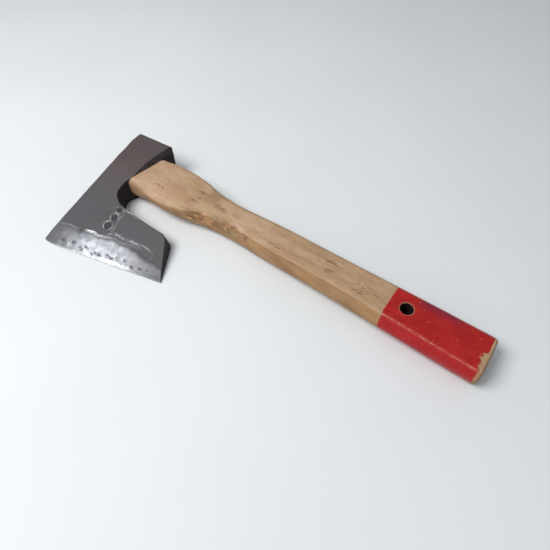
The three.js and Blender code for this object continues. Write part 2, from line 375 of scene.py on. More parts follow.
def head_outline():
    """Points clockwise round the head: x, y, lean in degrees, rim radius, cutting edge or not."""
    far, near, corner = POLL_FAR, POLL_NEAR, BEARD_CORNER
    parts = (
        (bend((TOP_FACE[-1][0], far[1] - POLL_CORNER), far, toward(far, near, POLL_CORNER)), 0, 1.1, 0),
        (bend(toward(near, far, POLL_CORNER), near, UNDERSIDE[0]), 0, 1.1, 0),
        (spline(UNDERSIDE + THROAT[:3]), 0, 0.9, 0),
        (spline(THROAT[2:]), BEARD_LEAN * 0.6, 0.8, 0),
        (bend(toward(corner, THROAT[-1], 30), toward(corner, THROAT[-1], 20),
              toward(corner, THROAT[-1], BEARD_CORNER_RUN)), BEARD_LEAN, 0.8, 0),
        (bend(toward(corner, THROAT[-1], BEARD_CORNER_RUN), corner,
              toward(corner, HEEL, BEARD_CORNER_RUN), 16), BEARD_LEAN, 0.9, 0),
        (np.array((toward(corner, HEEL, BEARD_CORNER_RUN + 1), HEEL)), HEEL_LEAN, 0.7, 0),
        (np.array((HEEL, TOE_START)), 0, 0.35, 1),
        (bend(TOE_START, TOE_PULL, TOE, 16), 0, 0.35, 1),
        (np.array((TOE, TOP_FACE[0])), 0, 0.8, 0),
        (spline(TOP_FACE), 0, 1.0, 0),
    )
    columns = np.vstack([
        rows_of(points, np.tile(rest, (len(points), 1))) for points, *rest in parts
    ])
    outline = resample(columns, OUTLINE_STEP)
    outline[:, :2] = blur_ring(outline[:, :2], OUTLINE_STEP, 0.55)
    outline[:, 2:4] = blur_ring(outline[:, 2:4], OUTLINE_STEP, 2.5)
    return outline


def nick_edge(outline, inward):
    """Small nicks in the cutting edge."""
    edge = np.flatnonzero(outline[:, 4] > 0.9)
    draw = np.random.default_rng(11)
    depth = np.zeros(len(outline))
    for at in draw.choice(edge[4:-4], 26, replace=False):
        width = draw.uniform(0.5, 1.5)
        away = np.hypot(*(outline[edge, :2] - outline[at, :2]).T)
        depth[edge] += draw.uniform(0.05, 0.4) * bell(away, width)
    outline[:, :2] += inward * depth[:, None]


def inward_normals(places, width):
    """Directions into the metal, square to a blurred copy of the clockwise outline."""
    soft = blur_ring(places, OUTLINE_STEP, width)
    run = np.roll(soft, -1, axis=0) - np.roll(soft, 1, axis=0)
    run /= np.hypot(*run.T)[:, None]
    return np.stack([run[:, 1], -run[:, 0]], 1)


def chamfer_plane():
    a, b, c = (np.array(p, float) for p in CHAMFER)
    normal = np.cross(b - a, c - a)
    normal *= np.sign(normal[0]) / np.linalg.norm(normal)
    return normal, normal @ a


def set_back_rule(outline, inward):
    """How far the wall lies in from the outline at a height: by its lean or by the chamfer."""
    places, lean = outline[:, :2], np.radians(outline[:, 2])
    normal, level = chamfer_plane()
    across = inward @ normal[:2]
    faces_chamfer = (across < -CHAMFER_FACING) & (places[:, 1] > -40)
    fade = smoothstep(CHAMFER_END_Y, CHAMFER_END_Y + 8, places[:, 1]) * faces_chamfer

    def set_back(z):
        over = places @ normal[:2] + normal[2] * z - level
        cut = np.maximum(over, 0) / np.maximum(-across, CHAMFER_FACING)
        return np.maximum(np.tan(lean) * z, np.where(faces_chamfer, cut, 0) * fade)

    return set_back


def side_wall(outline):
    """Rows of points up the head's side, from the flat cheek's rim to the top cheek's rim."""
    places, rim = outline[:, :2], outline[:, 3]
    inward = inward_normals(places, 2.6)
    nick_edge(outline, inward)
    set_back = set_back_rule(outline, inward)
    back = np.zeros(len(places))
    for _ in range(8):
        top = cheek_height(*(places + inward * back[:, None]).T)
        radius = np.minimum(rim, 0.42 * top)
        back = set_back(top) + radius

    quarter = np.linspace(0, math.pi / 2, LEVELS)
    levels = [(radius * (1 - math.cos(a)), radius * (1 - math.sin(a))) for a in quarter]
    levels += [(radius + share * (top - 2 * radius), 0) for share in np.linspace(0, 1, 14)[1:-1]]
    levels += [(top - radius * (1 - math.sin(a)), radius * (1 - math.cos(a))) for a in quarter]
    return [rows_of(places + inward * (set_back(z) + extra)[:, None], z) for z, extra in levels]


def grid_inside(loop, coarse, fine, weld):
    """Evenly spread points inside a loop, closer together near the bit, with rows by the weld."""
    low, high = loop.min(0), loop.max(0)
    kept = []
    for spacing, is_fine in ((coarse, False), (fine, True)):
        xs = np.arange(low[0], high[0], spacing)
        ys = np.arange(low[1], high[1], spacing * 0.87)
        x, y = np.meshgrid(xs, ys)
        x = x + spacing / 2 * (np.arange(len(ys)) % 2)[:, None]
        points = rows_of(x.ravel(), y.ravel())
        distance, side = line_distance(points, weld)
        near = (side > 0) | (distance < 5)
        points = points[(near == is_fine) & (distance > 2.0)]
        points = points[inside(points, loop)]
        kept.append(points[line_distance(points, closed(loop))[0] > spacing * 0.55])
    for offset in (0.3, 0.65, 1.05, 1.6):
        for sign in (1, -1):
            row = weld + sign * offset * right_of(weld)
            row = row[line_distance(row, weld)[0] > offset * 0.9]
            row = row[inside(row, loop)]
            kept.append(row[line_distance(row, closed(loop))[0] > offset * 0.6])
    return np.vstack(kept)


def fill(loop, points):
    """Triangles over the loop and the points inside it, as numbers into both together."""
    spots = [Vector(p) for p in np.vstack([loop, points])]
    border = list(range(len(loop)))
    _, _, faces, origin, _, _ = geometry.delaunay_2d_cdt(spots, [], [border], 1, 1e-7)
    return [[origin[i][0] for i in face] for face in faces]


def edge_y(x):
    """The cutting edge's straight line, at x."""
    return EDGE_START[1] + (x - EDGE_START[0]) * math.tan(EDGE_TURN)


def weld_y(x):
    """The weld line, wavy and nearly parallel to the cutting edge, at x."""
    x = np.asarray(x, float)
    flat = rows_of(x.ravel(), np.zeros((x.size, 2)))
    wave = (WELD_WAVE * (noise_at(flat, 9, 3.3) + 0.4 * noise_at(flat, 3, 8.1))).reshape(x.shape)
    back = WELD_BACK + (WELD_BACK_AT_HEEL - WELD_BACK) * smoothstep(*WELD_NEARS, x)
    lap_x, lap_long, lap_deep = WELD_LAP
    lap = lap_deep * bell(x - lap_x, lap_long)
    return edge_y(x) + back / math.cos(EDGE_TURN) + wave - lap


def weld_line():
    x = np.arange(WELD_ENDS[0], WELD_ENDS[1], 0.4)
    return resample_open(rows_of(x, weld_y(x)), 0.6)


def resample_open(line, step):
    run = running_length(line)
    at = np.linspace(0, run[-1], round(run[-1] / step) + 1)
    return rows_of(*[np.interp(at, run, c) for c in line.T])


def head_part(name, rows, keep, weld, coarse, fine):
    """Closed solid over part of the outline, closed across by the weld line."""
    wall = [row[keep] for row in rows]
    height = cheek_height(*weld.T)
    share = np.linspace(0, 1, len(rows))
    loops = [np.vstack([row, rows_of(weld, height * t)]) for row, t in zip(wall, share)]
    count = len(loops[0])
    numbers = np.arange(count * len(loops)).reshape(len(loops), count)
    faces = ring_faces(numbers, count)
    points = [*loops]
    total = numbers.size
    for row, at_top in ((0, False), (len(loops) - 1, True)):
        loop = loops[row][:, :2]
        spread = (coarse, fine) if at_top else (2.4, 2.4)
        inner = grid_inside(loop, *spread, weld)
        z = cheek_height(*inner.T) if at_top else np.zeros(len(inner))
        local = np.concatenate([numbers[row], np.arange(total, total + len(inner))])
        faces += [[local[i] for i in face] for face in fill(loop, inner)]
        points.append(rows_of(inner, z))
        total += len(inner)
    return make_piece(name, np.vstack(points), faces)


def build_head():
    outline = head_outline()
    rows = side_wall(outline)
    weld = weld_line()
    toe_x, heel_x = WELD_ENDS[0] - 3, WELD_ENDS[1] + 5.6
    first = np.argmin(np.hypot(*(outline[:, :2] - (toe_x, weld_y(toe_x))).T))
    second = np.argmin(np.hypot(*(outline[:, :2] - (heel_x, weld_y(heel_x))).T))
    count = len(outline)
    round_bit = np.arange(second, first + 1)
    round_body = np.arange(first, second + count + 1) % count
    right = right_of(weld) * SEAM_WIDTH
    body = head_part("head_body", rows, round_body, (weld - right)[::-1], 1.3, 0.75)
    bit = head_part("hard_bit", rows, round_bit, weld + right, 1.3, 0.7)
    return body, bit


def line_mask(flat, points, width):
    """One on a drawn line, fading to nothing within a few of its half widths."""
    low, high = np.min(points, 0) - 4 * width, np.max(points, 0) + 4 * width
    near = np.all((flat > low) & (flat < high), axis=1)
    mask = np.zeros(len(flat))
    line = resample_open(spline(points, 6), 1.0) if len(points) > 2 else np.array(points, float)
    mask[near] = bell(line_distance(flat[near], line)[0], width)
    return mask


# ---- Haft ---------------------------------------------------------------------------

# Points on each of the section's twelve corners, and on the flat that follows it
CORNER_SAMPLES = (12, 8, 6, 5, 6, 6, 5, 5, 5, 5, 5, 5)
FLAT_SAMPLES = (14, 8, 8, 3, 4, 14, 0, 0, 6, 0, 0, 36)
RING = sum(CORNER_SAMPLES) + sum(FLAT_SAMPLES)


def round_corner(y, z, radius, turns):
    """Three corners of a polygon that touches a round corner, with short flats between them."""
    reach = radius / math.cos(math.radians(15))
    cut = 0.8 * radius * math.tan(math.radians(15))
    middles = np.radians(np.linspace(*turns, 7)[1::2])
    return [(y + reach * math.cos(a), z + reach * math.sin(a), cut) for a in middles]


def rounded_section(corners):
    """Ring through rounded corners (y, z, cut), with extra points on the flats between them."""
    y, z, cut = (np.stack(np.broadcast_arrays(*values)) for values in zip(*corners))
    spots = np.stack([y, z], 2)
    before, after = np.roll(spots, 1, axis=0), np.roll(spots, -1, axis=0)
    run_in = (before - spots) / np.linalg.norm(before - spots, axis=2, keepdims=True)
    run_out = (after - spots) / np.linalg.norm(after - spots, axis=2, keepdims=True)
    start, end = spots + run_in * cut[..., None], spots + run_out * cut[..., None]
    ring = []
    for i, (corner, flat) in enumerate(zip(CORNER_SAMPLES, FLAT_SAMPLES)):
        for t in (np.arange(corner) + 0.5) / corner:
            ring.append((1 - t)**2 * start[i] + 2 * t * (1 - t) * spots[i] + t * t * end[i])
        for t in (np.arange(flat) + 0.5) / max(flat, 1):
            ring.append((1 - t) * end[i] + t * start[(i + 1) % 12])
    return np.stack(ring, 1)


def belly_at(x):
    return curve_through(x, GRIP[:, 0], GRIP[:, 2])


def ridge_at(x):
    """How far the belly's ridge lies in from the belly, and how far below the top."""
    return [curve_through(x, RIDGE[:, 0], RIDGE[:, i]) for i in (1, 2)]


def section(x, grow=0.0):
    """Rings of (y, z) across the haft at each x, anticlockwise from the top belly corner."""
    x = np.asarray(x, float)
    back = curve_through(np.maximum(x, GRIP[0, 0]), GRIP[:, 0], GRIP[:, 1])
    belly = belly_at(np.maximum(x, GRIP[0, 0]))
    inset, drop = ridge_at(x)
    flare = TENON_FLARE * np.maximum(0, FLARE_START_X - x) / (FLARE_START_X - TENON_TOP_X)
    out = grow + flare
    high, corner = HALF_THICK, PLAIN_CORNER
    right, left = back - corner, belly + corner
    plain = [
        *round_corner(left, high - corner, corner + out, (90, 180)),
        *round_corner(left, corner - high, corner + out, (180, 270)),
        *round_corner(right, corner - high, corner + out, (270, 360)),
        *round_corner(right, high - corner, corner + out, (0, 90)),
    ]
    crown = inset + 5 + 1.3 * drop
    side = np.minimum(drop + 7, high - 1)
    ridged = [
        (belly + crown, high, 4.5), (belly + inset, high - drop, 0.9), (belly, high - side, 2.4),
        (belly, side - high, 2.4), (belly + inset, drop - high, 1.4), (belly + crown, -high, 4.5),
    ]
    shaped = rounded_section(ridged + plain[6:])
    blend = smoothstep(20, 34, x)[:, None, None]
    return (1 - blend) * rounded_section(plain) + blend * shaped


def section_normals(rings):
    run = np.roll(rings, -1, axis=1) - np.roll(rings, 1, axis=1)
    run /= np.linalg.norm(run, axis=2, keepdims=True)
    return np.stack([run[..., 1], -run[..., 0]], 2)


# Where the haft's upper side is knocked about: x, y, reach along and across, marks
KNOCKS = (
    (44, -12, 7, 2, 4), (82, 0, 5, 14, 8), (107, -1, 8, 2, 4), (145, -13, 6, 3, 5),
    (173, -5, 5, 4, 3), (227, 5, 8, 2, 6), (224, -4, 4, 2, 2), (262, -4, 10, 7, 4),
)
CHEWED = ((83, 101, 1), (101, 118, 0.75), (119, 137, 0.9))       # from x, to x, how deep


def haft_marks():
    """Pits (x, y, half length, half width, depth) and cracks (half width, strength, points)."""
    draw = np.random.default_rng(23)
    pits, cracks = [], []
    for zone_x, zone_y, long, wide, count in KNOCKS:
        for _ in range(count):
            place = np.array((zone_x, zone_y)) + np.array((long, wide)) * draw.uniform(-1, 1, 2)
            turn, half = draw.normal(0, 0.35), draw.uniform(1.2, 3.8)
            run = half * np.array((math.cos(turn), math.sin(turn)))
            bow = np.array((0, draw.uniform(-0.9, 0.9)))
            width, strength = draw.uniform(0.45, 0.7), draw.uniform(0.6, 1)
            cracks.append((width, strength, place + np.array((-run, bow, run))))
            if draw.random() < 0.6:
                pits.append((*place, *draw.uniform((1.2, 0.5, 0.3), (3.2, 1.1, 0.6))))
    return pits, cracks


def pit_mask(spots):
    """How far into a pit each place on the haft's upper side is."""
    x, y, z = spots.T
    x, y = x + 1.2 * noise_at(spots, 2.5, 4.4), y + 0.7 * noise_at(spots, 2.5, 7.4)
    depth, mask = np.zeros(len(x)), np.zeros(len(x))
    for at_x, at_y, long, wide, deep in haft_pits:
        near = spot_at(x, y, at_x, at_y, long, wide) * (z > 2)
        depth = np.maximum(depth, near * deep)
        mask = np.maximum(mask, near)
    return depth, mask


def crack_mask(spots):
    """How far into a crack each place on the haft's upper side is."""
    flat = spots[:, :2] + 0.5 * rows_of(noise_at(spots, 1.7, 2.6), noise_at(spots, 1.7, 6.2))
    broken = smoothstep(-0.75, 0.1, noise_at(spots, 1.6, 4.9))
    mask = np.zeros(len(spots))
    for width, strength, points in haft_cracks:
        mask = np.maximum(mask, strength * line_mask(flat, points, width) * broken)
    return mask * (spots[:, 2] > 2)


def chewed_mask(spots):
    """Bruised, torn band along the belly's upper ridge, near the head."""
    x, y, z = spots.T
    bruised = np.zeros(len(x))
    for start, end, deep in CHEWED:
        torn = deep * smoothstep(start - 3, start + 3, x) * smoothstep(end + 3, end - 3, x)
        bruised = np.maximum(bruised, torn)
    return bruised * smoothstep(6, 3, y - belly_at(x)) * smoothstep(-9, -4, z)


def haft_surface(spots, normals):
    """Hand-shaped unevenness, bruises and pits, moved along the section's normals."""
    grown = smoothstep(22, 34, spots[:, 0])
    slow = 0.22 * noise_at(spots * (0.3, 1, 1), 11, 3.1)
    fine = 0.05 * noise_at(spots * (0.25, 1, 1), 1.6, 8.4)
    chewed = chewed_mask(spots)
    torn = chewed * (0.3 + 1.5 * np.abs(noise_at(spots * (0.6, 1, 1), 4.2, 1.9, 3)))
    depth, _ = pit_mask(spots)
    move = grown * (slow + fine - torn - depth - 0.25 * crack_mask(spots))
    return spots[:, 1:] + normals * np.minimum(move, 0.3)[:, None]


def paint_start(y, z):
    """Where the paint begins along the haft, round the section."""
    spots = rows_of(np.zeros(len(y)), y, z)
    slant = 1.1 * smoothstep(-6, -20, y)
    return PAINT_START_X + slant + 0.35 * noise_at(spots, 2.6, 5.5) + 0.25 * noise_at(spots, 0.9, 9.1)


def paint_end(y, z):
    """Where the paint ends, worn back along the belly's upper side."""
    spots = rows_of(np.zeros(len(y)), y, z)
    worn = 2.6 * smoothstep(2, 6, z) * smoothstep(1.5, -2, y) * smoothstep(-17, -13, y)
    ragged = 0.5 + 0.9 * noise_at(spots, 2.4, 2.2, 3)
    return PAINT_END_X - np.clip(worn * (0.6 + ragged), 0, 4) + 0.3 * noise_at(spots, 1.2, 3.3)


END_RINGS = (0.97, 0.9, 0.8, 0.68, 0.55, 0.42, 0.3, 0.18, 0.07)     # shares of the end's size


def end_cap(points, faces, ring, x_at, first, inward):
    """Adds rings shrinking to the middle of an end face, with a little unevenness."""
    centre = ring.mean(0)
    rows, numbers = [], [first + np.arange(RING)]
    start = sum(len(p) for p in points)
    for share in END_RINGS:
        spots = centre + (ring - centre) * share
        uneven = 0.09 * np.abs(noise_at(rows_of(np.zeros(RING), spots), 2.2, x_at))
        rows.append(rows_of(x_at + inward * uneven, spots))
        numbers.append(start + len(numbers) * RING - RING + np.arange(RING))
    points.append(np.vstack(rows))
    faces.extend(ring_faces(numbers, RING))
    faces.append(tuple(numbers[-1]))


def build_haft():
    steps = np.concatenate([
        np.linspace(TENON_TOP_X, 22, 30), np.arange(22.6, PAINT_START_X - 3, 0.8),
        np.arange(PAINT_START_X - 3, PAINT_START_X + 3, 0.35),
        np.arange(PAINT_START_X + 3, BUTT_X - BUTT_ROUND - 4, 1.2),
        np.arange(BUTT_X - BUTT_ROUND - 4, BUTT_X - BUTT_ROUND, 0.4),
    ])
    rings = section(steps)
    normals = section_normals(rings)
    x = np.repeat(steps, RING)
    flat_rings, flat_normals = rings.reshape(-1, 2), normals.reshape(-1, 2)
    under = smoothstep(-0.4, 0.1, x - paint_start(*flat_rings.T)) \
        * smoothstep(-0.4, 0.1, paint_end(*flat_rings.T) - x)
    moved = haft_surface(rows_of(x, flat_rings), flat_normals)
    points = [rows_of(x, moved - flat_normals * (under * PAINT_SUNK)[:, None])]

    last, last_normals = section([BUTT_X])[0], section_normals(section([BUTT_X]))[0]
    for turn in np.linspace(0, math.pi / 2, 7):
        inset = BUTT_ROUND * (1 - math.cos(turn))
        at = BUTT_X - BUTT_ROUND * (1 - math.sin(turn))
        points.append(rows_of(np.full(RING, at), last - last_normals * inset))
    faces = ring_faces(np.arange((len(steps) + 7) * RING).reshape(-1, RING), RING)

    end_first = (len(steps) + 6) * RING
    end_cap(points, faces, points[-1][:, 1:], BUTT_X, end_first, -1)
    end_cap(points, faces, points[0][:RING, 1:], TENON_TOP_X, 0, 1)
    haft = make_piece("wooden_haft", haft_to_tool(np.vstack(points)), faces)
    kerf = wooden_plate("kerf", 6, 0.05, 0, SLOT_GAP, SLOT_OVERHANG)
    cut_away(haft, [hole_cutter(0), kerf, *slot_cutters()])
    return haft


def ring_solid(name, rings):
    """Closed solid through rings of equal length, given in the haft's frame."""
    numbers = np.arange(sum(map(len, rings))).reshape(len(rings), -1)
    faces = [*ring_faces(numbers, len(rings[0])), tuple(numbers[0]), tuple(numbers[-1])]
    return make_piece(name, haft_to_tool(np.vstack(rings)), faces)


def hole_cutter(grow):
    """Drill for the hanging hole, with its mouths eased."""
    radius, mouth = HOLE[2] + grow, HALF_THICK - 0.9
    upper = [(radius, mouth), (radius + 0.08, mouth + 0.5), (radius + 0.35, mouth + 1.1),
             (radius + 0.5, 14)]
    lower = [(r, -z) for r, z in reversed(upper)]
    turns = np.arange(BORE_SIDES) * 2 * math.pi / BORE_SIDES
    return ring_solid("drill", [
        rows_of(HOLE[0] + r * np.cos(turns), HOLE[1] + r * np.sin(turns), np.full(BORE_SIDES, z))
        for r, z in lower + upper
    ])


# ---- Paint coat ---------------------------------------------------------------------

def build_coat():
    """Thin shell of paint over the grip's end, ragged at both of its edges."""
    ring = section([PAINT_START_X])[0]
    start = paint_start(*ring.T)
    end = paint_end(*section([BUTT_X])[0].T)
    share = np.concatenate([[0, 0.003, 0.008], np.linspace(0.014, 0.986, 78), [0.992, 0.997, 1]])
    x = (start + share[:, None] * (end - start)).ravel()
    column = np.tile(np.arange(RING), len(share))
    rings = section(x)
    spots = rings[np.arange(len(x)), column]
    normals = section_normals(rings)[np.arange(len(x)), column]
    round_off = unit((x - (BUTT_X - BUTT_ROUND)) / BUTT_ROUND)
    spots = spots - normals * (BUTT_ROUND * (1 - np.sqrt(1 - round_off**2)))[:, None]
    surface = haft_surface(rows_of(x, spots), normals)
    edge = np.minimum(share, 1 - share) * (PAINT_END_X - PAINT_START_X)
    lift = np.repeat(PAINT_PROUD * smoothstep(0, 0.45, edge) - 0.12 * (edge <= 0), RING)
    lumps = 0.035 * noise_at(rows_of(x, spots), 4.5, 6.6)
    outer = surface + normals * (lift + lumps * (lift > 0))[:, None]
    inner = surface - normals * (PAINT_SUNK - 0.08)
    points = np.vstack([rows_of(x, outer), rows_of(x, inner)])
    count = len(share)
    upper = np.arange(count * RING).reshape(count, RING)
    lower = upper + count * RING
    faces = ring_faces(upper, RING) + ring_faces(lower[::-1], RING)
    faces += ring_faces([upper[0], lower[0]], RING) + ring_faces([upper[-1], lower[-1]], RING)
    coat = make_piece("paint_coat", haft_to_tool(points), faces)
    cut_away(coat, [hole_cutter(0.2)])
    return coat


# ---- Wedges -------------------------------------------------------------------------

WOOD_WEDGE = {"top": 2.3, "tip": 0.5, "end": 8}
STEEL_WEDGE = {"top": 1.3, "tip": 0.4, "end": -2, "half_width": 7}
# name, CAD node, place across the tenon, turn
STEEL_WEDGES = (
    ("front_wedge", "steel_wedge_front", -14, math.radians(140)),
    ("rear_wedge", "steel_wedge_rear", 9, math.radians(40)),
)
SLOT_GAP = 0.12
SLOT_OVERHANG = 5               # how far a cutter stands out of the tenon's top


def plate_rings(xs, half_width, middle, half_thick, corner, turn=0.0, place=0.0):
    """Rings of a tapered plate: rounded rectangles turned about X, at a place across the tenon."""
    rings = []
    for x, thick in zip(xs, half_thick):
        r = min(corner, 0.7 * thick)
        ring = []
        for (w, t), start in zip(((1, 1), (-1, 1), (-1, -1), (1, -1)), (0, 90, 180, 270)):
            for a in np.radians(start + np.linspace(0, 90, 5)):
                ring.append((w * (half_width - r) + r * math.cos(a), t * (thick - r) + r * math.sin(a)))
        ring = np.array(ring)
        long = [np.linspace(ring[4], ring[5], 12)[1:-1], np.linspace(ring[14], ring[15], 12)[1:-1]]
        ring = np.vstack([ring[:5], long[0], ring[5:15], long[1], ring[15:]])
        ring[:, 0] += middle
        c, s = math.cos(turn), math.sin(turn)
        across, up = ring.T
        rings.append(rows_of(np.full(len(ring), x), place + across * c - up * s, across * s + up * c))
    return rings


def closed_plate(name, rings, hammered):
    """Closed solid of the rings, with eased ends and a struck top."""
    top, tip = rings[0], rings[-1]
    centre_top, centre_tip = top.mean(0), tip.mean(0)

    def shrink(ring, centre, share):
        return centre + (ring - centre) * share

    caps = [shrink(top, centre_top, s) for s in (0.1, 0.35, 0.6, 0.82)]
    for cap_ring in caps:
        cap_ring[:, 0] += hammered * noise_at(cap_ring, 1.8, 4.0)
    rings = [*caps, *rings, *(shrink(tip, centre_tip, s) for s in (0.6, 0.2))]
    return ring_solid(name, rings)


def taper(size, grow=0.0, overhang=0.0):
    """Places along X and half thicknesses of a wedge, its top edge eased when nothing is added."""
    slope = (size["top"] - size["tip"]) / (size["end"] - TENON_TOP_X)
    if grow:
        xs = np.array((TENON_TOP_X - overhang, size["end"] + grow))
        return xs, np.array((size["top"] + grow + slope * overhang, size["tip"] + grow))
    down = np.linspace(1.5, size["end"] - TENON_TOP_X, 14)
    xs = TENON_TOP_X + np.concatenate([[0, 0.12, 0.35, 0.8], down])
    thick = size["top"] - slope * (xs - TENON_TOP_X)
    return xs, thick - np.array([0.3, 0.12, 0.03] + [0] * (len(xs) - 3))


def wooden_plate(name, past_haft, corner, hammered, *added):
    """A plate across the whole tenon: the wooden wedge, or the cutter for its kerf."""
    belly, back = GRIP[0, 2] - past_haft, GRIP[0, 1] + past_haft
    xs, thick = taper(WOOD_WEDGE, *added)
    rings = plate_rings(xs, (back - belly) / 2, (back + belly) / 2, thick, corner)
    return closed_plate(name, rings, hammered)


def steel_plate(wedge, name, corner, hammered, *added):
    """One of the two steel wedges, or the cutter for its slot."""
    _, _, place, turn = wedge
    xs, thick = taper(STEEL_WEDGE, *added)
    half_width = STEEL_WEDGE["half_width"] + (added[0] if added else 0)
    return closed_plate(name, plate_rings(xs, half_width, 0, thick, corner, turn, place), hammered)


def slot_cutters():
    return [steel_plate(wedge, "slot", 0.4, 0, SLOT_GAP, SLOT_OVERHANG) for wedge in STEEL_WEDGES]


def build_wooden_wedge():
    wedge = wooden_plate("kerf_wedge", -0.1, 0.3, 0.12)
    cut_away(wedge, slot_cutters())
    return wedge


def eye_cutter():
    """The eye: the tenon's own section, grown by the gap and run on past both of its mouths."""
    xs = np.array((-26, -18, -12, FLARE_START_X, 19, 40))
    rings = section(np.minimum(xs, 20), GAP)
    return ring_solid("eye", [rows_of(np.full(RING, x), ring) for x, ring in zip(xs, rings)])


# ---- Camera, lights and floor -------------------------------------------------------

CAMERA = {"azimuth": 35.58, "elevation": 53.5, "distance": 0.38092, "lens": 29.455}
AIM_FROM_BOX = (0.01673, 0.01388, 0.012)    # from the bottom centre of the CAD box, in metres
# name, azimuth, elevation, distance and size in metres, power, colour
LIGHTS = (
    ("window", -42, 57, 1.15, 0.66, 10.6, (1.0, 0.985, 0.96)),
    ("fill", -15, 14, 1.3, 1.0, 1.5, (0.97, 0.985, 1.0)),
)
WORLD_COLOUR, WORLD_STRENGTH = (0.93, 0.965, 1.0, 1), 0.40
FLOOR_HALF, FLOOR_CELLS = 3.0, 24
FLOOR_DROP = 0.00005            # metres below the object, so that the two faces stay apart


def bottom_centre():
    low, high = cad_box
    return Vector(((low.x + high.x) / 2, (low.y + high.y) / 2, low.z))


def direction(azimuth, elevation):
    a, e = math.radians(azimuth), math.radians(elevation)
    return Vector((math.sin(a) * math.cos(e), -math.cos(a) * math.cos(e), math.sin(e)))


def aim(thing, away, distance, target=Vector()):
    """Places a camera or light out along a direction, looking back at the target."""
    thing.location = bottom_centre() + target + away * distance
    thing.rotation_mode = "QUATERNION"
    thing.rotation_quaternion = (-away).to_track_quat("-Z", "Y")
    bpy.context.scene.collection.objects.link(thing)


def add_camera():
    data = bpy.data.cameras.new("camera")
    data.lens, data.sensor_width = CAMERA["lens"], 36
    data.clip_start, data.clip_end = 0.01, 20
    camera = bpy.data.objects.new("camera", data)
    away = direction(CAMERA["azimuth"], CAMERA["elevation"])
    aim(camera, away, CAMERA["distance"], Vector(AIM_FROM_BOX))
    bpy.context.scene.camera = camera


def add_light(name, azimuth, elevation, distance, size, power, colour):
    data = bpy.data.lights.new(name, "AREA")
    data.shape, data.size, data.energy, data.color = "DISK", size, power, colour
    aim(bpy.data.objects.new(name, data), direction(azimuth, elevation), distance)


def add_world():
    world = bpy.data.worlds.new("studio")
    world.use_nodes = True
    background = world.node_tree.nodes["Background"]
    background.inputs["Color"].default_value = WORLD_COLOUR
    background.inputs["Strength"].default_value = WORLD_STRENGTH
    bpy.context.scene.world = world


def add_floor():
    """Pale table top under the object, with the faintest unevenness."""
    mesh = bpy.data.meshes.new("floor")
    row = FLOOR_CELLS + 1
    grid = np.linspace(-FLOOR_HALF, FLOOR_HALF, row)
    low = cad_box[0].z - FLOOR_DROP
    corners = [r * row + c for r in range(FLOOR_CELLS) for c in range(FLOOR_CELLS)]
    mesh.from_pydata([(x, y, low) for y in grid for x in grid], [], [
        (a, a + 1, a + row + 1, a + row) for a in corners
    ])
    floor = bpy.data.objects.new("floor", mesh)
    bpy.context.scene.collection.objects.link(floor)
    return floor


# ---- Materials ----------------------------------------------------------------------

